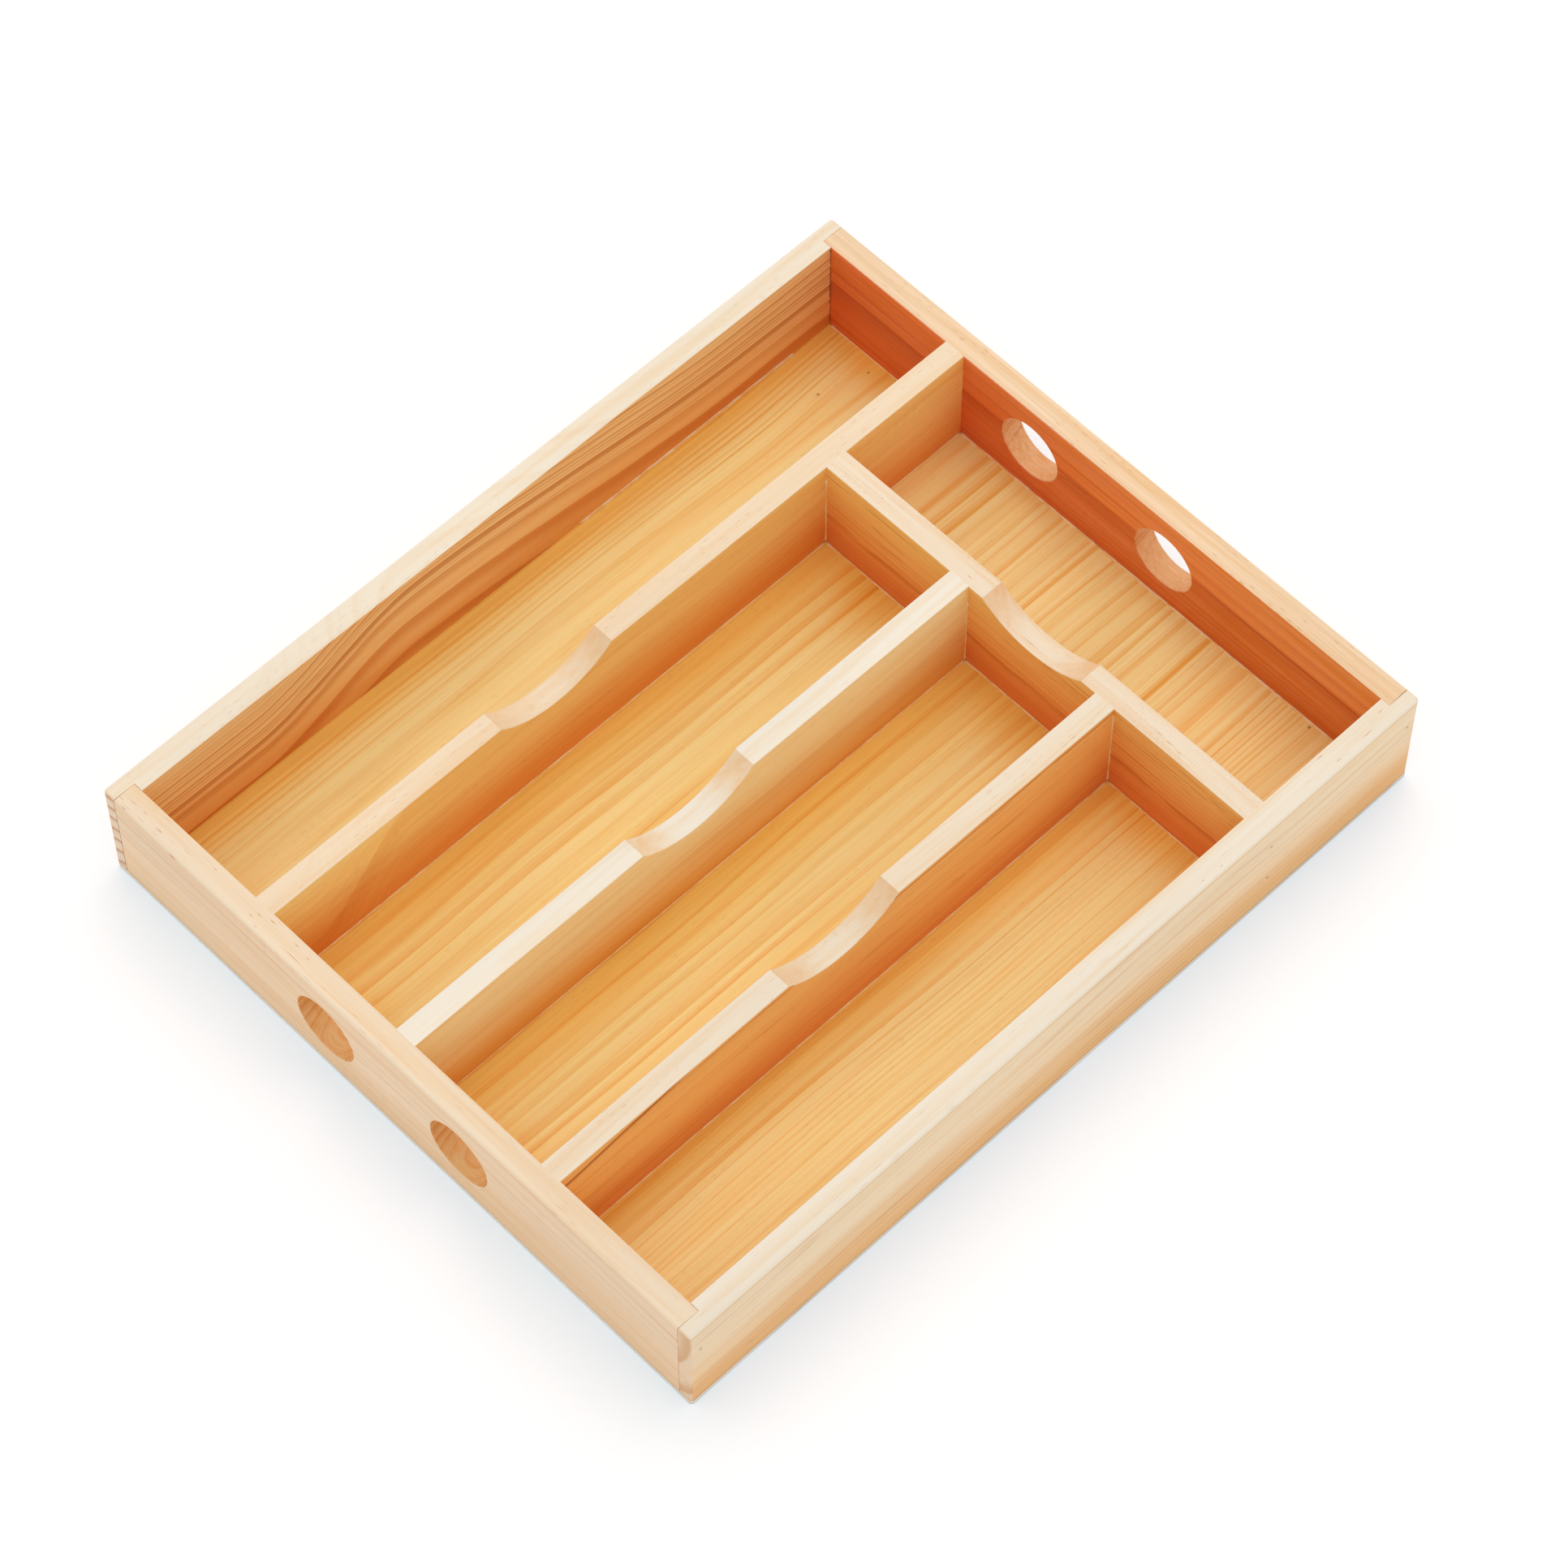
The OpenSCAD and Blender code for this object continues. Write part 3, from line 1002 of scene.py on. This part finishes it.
# the rounded rims count as walls too
boreWalls = {
    "along": holes["x"],
    "up": middleZ,
    "radius": holes["radius"] + holes["rim"][0] + holes["slack"],
}
frontPine = {
    "along": "X",
    "outward": frontward,
    "pith": (-140, -40),
    "ringWidth": 2.4,
    "wobble": 5,
    "seed": 8,
    "topColour": (0.88, 0.7, 0.5),
    "outerColour": (0.915, 0.695, 0.465),
    "footTint": (0.99, 0.93, 0.82),
    "ringStrength": 0.4,
    "boreWalls": boreWalls,
    "boreColour": (0.8, 0.47, 0.19),
    "marks": [
        *topMarks(
            (-124.6, -155.6, 1.4, 0.24),
            (-121.4, -157.5, 1.8, 0.21),
            (-115.6, -153.8, 1.6, 0.18),
            (-107.6, -154.9, 2, 0.24),
            (-85.2, -151.7, 1.1, 0.18),
            (-65.6, -154.7, 1.3, 0.27),
            (-63.8, -152.8, 1.6, 0.21),
            (-59, -151.4, 2.2, 0.27),
            (-61.6, -156.3, 0.9, 0.18),
            (-47.9, -151.7, 1.7, 0.24),
            (-45.6, -155.3, 7, 0.21),
            (-41.9, -152.4, 1.7, 0.21),
        ),
        ((-98.3, -158, 44.6), (2.4, 0.24, 2)),
        ((-56.3, -158, 38.3), (0.5, 2, 0.5)),
        ((-64.7, -158, 35), (0.6, 2, 0.4)),
    ],
    "fleckStretch": 22,
    "streakStrength": 0.18,
}
backPine = {
    "along": "X",
    "outward": backward,
    "pith": (170, -40),
    "ringWidth": 11,
    "wobble": 8,
    "seed": 11,
    "topColour": (0.88, 0.625, 0.39),
    "innerColour": (0.91, 0.355, 0.092),
    "footTint": (0.86, 0.66, 0.48),
    "cloudStrength": 0.4,
    "ringStrength": 0.7,
    "streakStrength": 0.45,
    "marks": [
        ((-122, 149.3, 20), (260, 0.6, 100)),
    ],
    "markTint": (0.95, 0.6, 0.64),
    "veins": [
        veinRow(frontward, (0.84, 0.7, 0.56), 27, 12, 4),
        veinRow(frontward, (0.74, 0.6, 0.55), 26.5, 1.2, 6, waver=2, start=42, stop=124),
    ],
    "boreWalls": boreWalls,
    "boreColour": (0.9, 0.5, 0.23),
    "fleckStrength": 0.85,
}
makeEnd("frontEnd", frontEnd, makePine("frontEndPine", **frontPine))
makeEnd("backEnd", backEnd, makePine("backEndPine", **backPine))

# dividers
longDivider = {
    "node": "long_divider",
    "slot": "long_divider_pine",
    "along": "Y",
    "low": (-69.3, -innerY),
    "high": (-60.9, innerY),
}
leftShort = {
    "node": "left_short_divider",
    "slot": "left_short_divider_pine",
    "along": "Y",
    "low": (-5.433, -innerY),
    "high": (2.967, 86.9),
}
rightShort = {
    "node": "right_short_divider",
    "slot": "right_short_divider_pine",
    "along": "Y",
    "low": (58.433, -innerY),
    "high": (66.833, 86.9),
}
crossDivider = {
    "node": "cross_divider",
    "slot": "cross_divider_pine",
    "along": "X",
    "low": (-60.9, 86.9),
    "high": (innerX, 95.8),
}
scoops = {"radius": 35.0, "depth": {"Y": 9.2, "X": 7.6}, "middleY": -31.2, "sides": 256, "slack": 1.0}


def makeDivider(name, settings, material):
    (x0, y0), (x1, y1) = settings["low"], settings["high"]
    alongY = settings["along"] == "Y"
    # the butted ends fill the rounded arris that they meet
    if alongY:
        y0, y1 = y0 - tray["buttIn"], y1 + tray["buttIn"]
    else:
        x0, x1 = x0 - tray["buttIn"], x1 + tray["buttIn"]
    piece = addBlock(name, (x0, y0, floorZ), (x1, y1, topZ))
    lowest = topZ - scoops["depth"][settings["along"]]
    middleY = scoops["middleY"] if alongY else (y0 + y1) / 2
    middle = ((x0 + x1) / 2, middleY, lowest + scoops["radius"])
    cutAway(piece, addDrum("scoop", scoops["radius"], middle, "X" if alongY else "Y", scoops["sides"]))
    faces = [edgeOn(x=x0), edgeOn(x=x1)] if alongY else [edgeOn(y=y0), edgeOn(y=y1)]

    def onArris(a, b):
        return min(a.z, b.z) >= lowest - scoops["slack"] and any(face(a, b) for face in faces)

    roundEdges(piece, tray["arrisRound"], onArris)
    finishBoard(piece, settings, material)


longPine = {
    "pith": (-52, 10),
    "ringWidth": 5,
    "wobble": 24,
    "seed": 14,
    "topColour": (0.89, 0.7, 0.49),
    "innerColour": (0.99, 0.71, 0.265),
    "ringStrength": 0.2,
    "footTint": (0.86, 0.45, 0.25),
    "footHeight": 42,
    "endColour": (0.87, 0.62, 0.38),
    "fleckStrength": 0.6,
    "ringBow": {
        "climb": 34,
        "climbFrom": -135,
        "climbTo": -92,
        "sink": 0,
        "sinkFrom": 0,
        "sinkTo": 100,
    },
    "lineStrength": 0.15,
    "veins": [
        veinRow(rightward, (0.94, 0.82, 0.7), 10, 18, 11, waver=2, broken=-0.3),
    ],
}
leftShortPine = {
    "pith": (15, 12),
    "ringWidth": 6,
    "seed": 17,
    "topColour": (0.89, 0.8, 0.665),
    "innerColour": (0.96, 0.81, 0.43),
    "ringStrength": 0.25,
    "lineStrength": 0.15,
    "fleckStrength": 0.25,
    "footTint": (0.86, 0.48, 0.18),
    "footHeight": 35,
    "endColour": (0.88, 0.67, 0.44),
}
rightShortPine = {
    "pith": (80, 20),
    "ringWidth": 6,
    "seed": 20,
    "topColour": (0.885, 0.745, 0.57),
    "innerColour": (0.97, 0.56, 0.18),
    "ringStrength": 0.3,
    "footTint": (0.85, 0.55, 0.46),
    "footHeight": 34,
    "endColour": (0.87, 0.62, 0.38),
    "veins": [
        veinRow(rightward, (0.55, 0.26, 0.12), 56.5, 2.4, 5, waver=2, slope=0.11, start=-160, stop=-80),
        veinRow(rightward, (0.6, 0.3, 0.14), 43.4, 1, 6, waver=1.6, broken=0.25, start=-124, stop=120),
        veinRow(rightward, (0.62, 0.34, 0.18), 41.8, 0.7, 12, waver=1.6, broken=0.45, start=-60, stop=120),
        veinRow(rightward, (0.6, 0.34, 0.18), 29, 0.7, 13, waver=4, broken=0.52),
    ],
}
brownVein = (0.68, 0.38, 0.2)
crossPine = {
    "along": "X",
    "pith": (80, 60),
    "fleckStretch": 2.6,
    "seed": 23,
    "topColour": (0.9, 0.735, 0.55),
    "innerColour": (0.96, 0.635, 0.195),
    "ringStrength": 0.35,
    "fleckStrength": 0.6,
    "footTint": (0.86, 0.39, 0.31),
    "footHeight": 56,
    "endColour": (0.88, 0.6, 0.36),
    "streakStrength": 0.12,
    "marks": [
        *topMarks(
            (0.7, 89.8, 1.5, 0.24),
            (82.6, 90.6, 2.4, 0.18),
            (87.2, 90.2, 1.8, 0.21),
            (91.7, 89.8, 1.6, 0.21),
        ),
        ((28.2, 89.4, 37.6), (4.4, 0.21, 3)),
    ],
    "fleckShare": 2.4,
    "veins": [
        veinRow(frontward, brownVein, 40.5, 0.7, 7, waver=5, broken=0.48),
        veinRow(frontward, brownVein, 37.5, 0.6, 8, waver=6, broken=0.5),
        veinRow(frontward, brownVein, 33, 0.6, 9, waver=7, broken=0.5),
        veinRow(frontward, brownVein, 42.5, 0.6, 14, waver=2, broken=0.4, start=62),
        veinRow(frontward, brownVein, 35.5, 0.6, 15, waver=3, broken=0.44, start=62),
        veinRow(frontward, brownVein, 27, 0.6, 16, waver=4, broken=0.5),
        veinRow(frontward, (0.8, 0.62, 0.45), 19, 4, 10, waver=9, broken=0.3),
    ],
}
makeDivider("longDivider", longDivider, makePine("longDividerPine", **longPine))
makeDivider("leftShortDivider", leftShort, makePine("leftShortPine", **leftShortPine))
makeDivider("rightShortDivider", rightShort, makePine("rightShortPine", **rightShortPine))
makeDivider("crossDivider", crossDivider, makePine("crossPine", **crossPine))

# base sheet
basePanel = {
    "node": "base_panel",
    "slot": "base_sheet",
    "inset": 0.15,
    "corner": (1.25, 8),
    "edge": (0.3, 2),
    "low": (0.06, 1),
}
crowns = {
    "half": 3.12,
    "wide": 1.36,
    "deep": 0.34,
    "proud": 2.0,
    "alongY": [
        *((x, y) for x in (-126.65, 126.65) for y in (-111.975, -37.325, 37.325, 111.975)),
        *((-65.1, y) for y in (-99.533, 0, 99.533)),
        *((x, y) for x in (-1.233, 62.633) for y in (-90.25, 27.85)),
    ],
    "alongX": [
        *((x, y) for x in (-81.533, 0, 81.533) for y in (-153.65, 153.65)),
        (-15.1, 91.35),
        (76.5, 91.35),
    ],
}


def makeBase(name, settings, material):
    x1, y1 = halfW - settings["inset"], halfL - settings["inset"]
    piece = addBlock(name, (-x1, -y1, 0), (x1, y1, floorZ))

    def upright(a, b):
        return near(a.x, b.x) and near(a.y, b.y)

    roundEdges(piece, settings["corner"], upright)
    roundEdges(piece, settings["edge"], edgeOn(z=floorZ))
    roundEdges(piece, settings["low"], edgeOn(z=0))
    # grooves that the staple crowns press into the underside
    half, side, low, deep = crowns["half"], crowns["wide"] / 2, -crowns["proud"], crowns["deep"]
    for places, reachX, reachY in ((crowns["alongY"], side, half), (crowns["alongX"], half, side)):
        for x, y in places:
            groove = addBlock("groove", (x - reachX, y - reachY, low), (x + reachX, y + reachY, deep))
            cutAway(piece, groove)
    finishBoard(piece, settings, material)


# painted shade: a dark line at the top of the sheet's edge, under the frame, and a painted contact shadow
# along its foot
jointShadeTone = (0.34, 0.21, 0.13)
contactShadeTone = (0.52, 0.4, 0.35)
basePine = {
    "pith": (-88, -30),
    "ringWidth": 5.2,
    "wobble": 8,
    "sharpness": 1.8,
    "seed": 26,
    "topColour": (0.98, 0.785, 0.335),
    "outerColour": (0.88, 0.7, 0.47),
    "innerColour": (0.98, 0.9, 0.76),
    "lateTint": (0.74, 0.48, 0.2),
    "topLate": (0.88, 0.5, 0.08),
    "topFigure": 1,
    "ringStrength": 0.92,
    "streakStrength": 0.26,
    "fleckStrength": 0.35,
    "footTint": (1, 1, 1),
    "endColour": (0.98, 0.9, 0.76),
    "endWidth": 1000,
    "patchiness": 0.35,
    "cloudStrength": 0.3,
    # compartments whose floors take painted shade near their walls: centre, half sizes and reach of the
    # shade
    "nooks": [
        ((-95.8, 0, 0), (26.5, 149.3, 9), 15),
        ((-33.2, -31.2, 0), (27.7, 118.1, 9), 30),
        ((30.7, -31.2, 0), (27.7, 118.1, 9), 30),
        ((94.6, -31.2, 0), (27.7, 118.1, 9), 18),
        ((30.7, 122.6, 0), (100.6, 35.7, 9), 15),
    ],
    "outward": (0, 0, -1),
    "tight": (-12, 94, 0.3),
    "nookTint": (1, 0.8, 0.42),
    "nookEdge": (-4, -1),
    "marks": [
        ((-104.6, 126.3, 2.7), (0.9, 0.9, 2)),
        ((98.1, 147.5, 2.7), (0.9, 0.9, 2)),
        ((-99.2, 144.5, 2.7), (0.8, 0.8, 2)),
    ],
    "markTint": (0.3, 0.2, 0.12),
    "faintUntil": 78,
    "faint": 0.65,
    "veins": [
        # painted shade and painted contact shadow along the front and right edges of the sheet
        veinRow(frontward, jointShadeTone, 2.3, 0.9, 17, waver=0.15, broken=-0.6),
        veinRow(rightward, jointShadeTone, 2.3, 0.9, 18, waver=0.15, broken=-0.6),
        veinRow(frontward, contactShadeTone, 0.4, 1.1, 19, waver=0.1, broken=-0.6),
        veinRow(rightward, contactShadeTone, 0.4, 1.1, 20, waver=0.1, broken=-0.6),
    ],
}
makeBase("basePanel", basePanel, makePine("baseSheet", **basePine))

# dried glue along the feet of the boards and up some inner corners
glueIn = 0.3  # beads reach this far into the boards
longX, leftX, rightX = (board["high"][0] for board in (longDivider, leftShort, rightShort))
crossY = crossDivider["low"][1]


# a line of glue where a board stands on the sheet
def footRun(start, stop, spread, wide, tall):
    return {
        "start": (*start, floorZ),
        "stop": (*stop, floorZ),
        "spread": spread,
        "rise": (0, 0, 1),
        "size": (wide, tall),
    }


# a line of glue up the corner of a divider and the cross divider
def cornerRun(x, top, size):
    return {
        "start": (x, crossY, floorZ + glueIn),
        "stop": (x, crossY, top),
        "spread": rightward,
        "rise": frontward,
        "size": (size, size),
    }


glue = {
    "slot": "base_sheet",
    "step": 4.0,
    "crest": 0.75,
    "crestFacets": 2,
    "longShare": 0.9,
    "ragged": 0.4,
    "fine": 0.12,
    "fineCuts": 2,
    "fineSmooth": 0.6,
    "fineSeed": 50,
    "pale": (0.93, 0.74, 0.46),
    "amber": (0.88, 0.55, 0.22),
    "patches": 240.0,
    "patchEdge": (0.35, 0.62),
    "roughness": (0.2, 0.32),
    "runs": [
        footRun((-innerX, 34), (-innerX, 132), rightward, 0.6, 0.6),
        footRun((-122, innerY), (-69.6, innerY), frontward, 0.22, 0.25),
        footRun((-60.6, innerY), (122, innerY), frontward, 0.55, 0.4),
        footRun((longX, -149), (longX, 86.6), rightward, 0.3, 0.3),
        footRun((longX, 96.1), (longX, 149), rightward, 0.25, 0.25),
        footRun((leftX, -149), (leftX, 86.6), rightward, 0.25, 0.25),
        footRun((rightX, -149), (rightX, 86.6), rightward, 0.3, 0.3),
        footRun((-60.6, crossY), (-5.7, crossY), frontward, 0.3, 0.3),
        footRun((3.2, crossY), (58.2, crossY), frontward, 0.4, 0.35),
        footRun((67.1, crossY), (122, crossY), frontward, 0.3, 0.3),
        footRun((innerX, -149), (innerX, 86.6), leftward, 0.3, 0.3),
        footRun((-122, -innerY), (-69.6, -innerY), backward, 0.3, 0.3),
        cornerRun(rightX, 41, 0.32),
        cornerRun(leftX, 36, 0.2),
        cornerRun(longX, 38, 0.22),
    ],
}


def addBead(number, run):
    start, stop, spread, rise = (Vector(run[key]) for key in ("start", "stop", "spread", "rise"))
    wide, tall = run["size"]
    piece = addBlock(
        f"bead{number}", start - (spread + rise) * glueIn, stop + spread * wide + rise * tall
    )

    def onCrest(a, b):
        aways = (a - start, b - start)
        return all(near(away.dot(spread), wide) and near(away.dot(rise), tall) for away in aways)

    def roughen(share, seed):
        bpy.ops.mesh.select_all(action="SELECT")
        bpy.ops.transform.vertex_random(offset=mm(share * wide), uniform=0.0, normal=0.0, seed=seed)

    roundEdges(piece, (min(wide, tall) * glue["crest"], glue["crestFacets"]), onCrest)
    length = (stop - start).length
    heading = (stop - start).normalized()
    pickEdges(piece, lambda a, b: (b - a).length > length * glue["longShare"])
    bpy.ops.mesh.subdivide(number_cuts=int(length / glue["step"]))
    roughen(glue["ragged"], number)
    pickEdges(piece, lambda a, b: abs((b - a).dot(heading)) > glue["step"] / 2)
    bpy.ops.mesh.subdivide(number_cuts=glue["fineCuts"], smoothness=glue["fineSmooth"])
    roughen(glue["fine"], number + glue["fineSeed"])
    leaveEdit()
    return piece


def makeGlue():
    material, shader = startMaterial("driedGlue")
    place = put("ShaderNodeTexCoord")
    patches = noiseAt(scaleVector(place.outputs["Object"], glue["patches"]), 3.0)
    patchy = rampUp(patches, *glue["patchEdge"])
    feed(shader.inputs["Base Color"], mixColour(patchy, glue["amber"], glue["pale"]))
    feed(shader.inputs["Roughness"], timesPlus(patchy, *glue["roughness"]))
    beads = [addBead(number, run) for number, run in enumerate(glue["runs"])]
    piece = beads[0]
    activate(piece)
    for bead in beads:
        bead.select_set(True)
    bpy.ops.object.join()
    piece.name = "glueLines"
    bpy.ops.object.mode_set(mode="EDIT")
    bpy.ops.mesh.select_all(action="SELECT")
    bpy.ops.mesh.normals_make_consistent(inside=False)
    leaveEdit()
    bpy.ops.object.shade_smooth()
    wear(piece, material)
    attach(piece, "root")
    print("glue done:", len(piece.data.polygons), "faces")


makeGlue()

# wire of the brads and staples
wire = {
    "colour": (0.52, 0.52, 0.53),
    "dull": (0.364, 0.364, 0.371),
    "drawn": (3000, 900, 3000),
    "roughness": (0.2, 0.38),
}


def makeWire():
    material, shader = startMaterial("steelWire")
    shader.inputs["Metallic"].default_value = 1.0
    place = put("ShaderNodeTexCoord")
    drawn = noiseAt(vectorCalc("MULTIPLY", place.outputs["Object"], wire["drawn"]))
    feed(shader.inputs["Base Color"], mixColour(drawn, wire["dull"], wire["colour"]))
    feed(shader.inputs["Roughness"], timesPlus(drawn, *wire["roughness"]))
    return material


steelWire = makeWire()
for nodeName in ("corner_brads", "divider_brads", "base_staples"):
    wear(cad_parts[nodeName], steelWire)
print("wire done")

# floor, light and white surround, in metres
studio = {
    "floorSide": 12.0,
    "floorZ": -0.00002,
    "floorColour": (0.9, 0.9, 0.9),
    "floorRoughness": 0.9,
    "seenColour": (0.97, 0.66, 0.5),
    "seenGlow": (0.148, 0.42, 0.559),
    "shadeReach": 0.045,
    "shadeSamples": 8,
    "shadeTone": (0.7, 0.5, 0.38),
    "fill": 0.86,
    "keyPower": 6.0,
    "keySide": 1.6,
    "keyPlace": (-0.5, 0.6, 1.5),
}


# rays that should meet the white surround as it is
def seenDirectly():
    rays = put("ShaderNodeLightPath").outputs
    return strongest([rays[f"Is {kind} Ray"] for kind in ("Camera", "Glossy", "Transmission")])


def makeFloor():
    clearSelection()
    bpy.ops.mesh.primitive_plane_add(size=studio["floorSide"], location=(0, 0, studio["floorZ"]))
    table = bpy.context.object
    table.name = "paleTable"
    settle(table)
    material, shader = startMaterial("palePaper")
    seen = seenDirectly()
    nearby = put("ShaderNodeAmbientOcclusion", samples=studio["shadeSamples"])
    nearby.inputs["Distance"].default_value = studio["shadeReach"]
    paper = mixColour(nearby.outputs["AO"], studio["shadeTone"], studio["seenColour"])
    feed(shader.inputs["Base Color"], mixColour(seen, studio["floorColour"], paper))
    shader.inputs["Roughness"].default_value = studio["floorRoughness"]
    shader.inputs["Specular IOR Level"].default_value = 0.0
    feed(shader.inputs["Emission Color"], studio["seenGlow"])
    feed(shader.inputs["Emission Strength"], seen)
    wear(table, material)


def makeLight():
    world = bpy.data.worlds.new("studio")
    bpy.context.scene.world = world
    world.use_nodes = True
    bench["tree"] = world.node_tree
    light = world.node_tree.nodes["Background"]
    feed(light.inputs["Color"], (1, 1, 1))
    strength = put("ShaderNodeMapRange")
    feed(strength.inputs["Value"], seenDirectly())
    strength.inputs["To Min"].default_value = studio["fill"]
    feed(light.inputs["Strength"], strength.outputs[0])
    clearSelection()
    place = Vector(studio["keyPlace"])
    bpy.ops.object.light_add(type="AREA", location=place)
    key = bpy.context.object
    key.name = "softBox"
    key.data.energy = studio["keyPower"]
    key.data.size = studio["keySide"]
    key.rotation_euler = (-place).to_track_quat("-Z", "Y").to_euler()


makeFloor()
makeLight()
bpy.context.scene.view_settings.view_transform = "Standard"
print("studio lit")
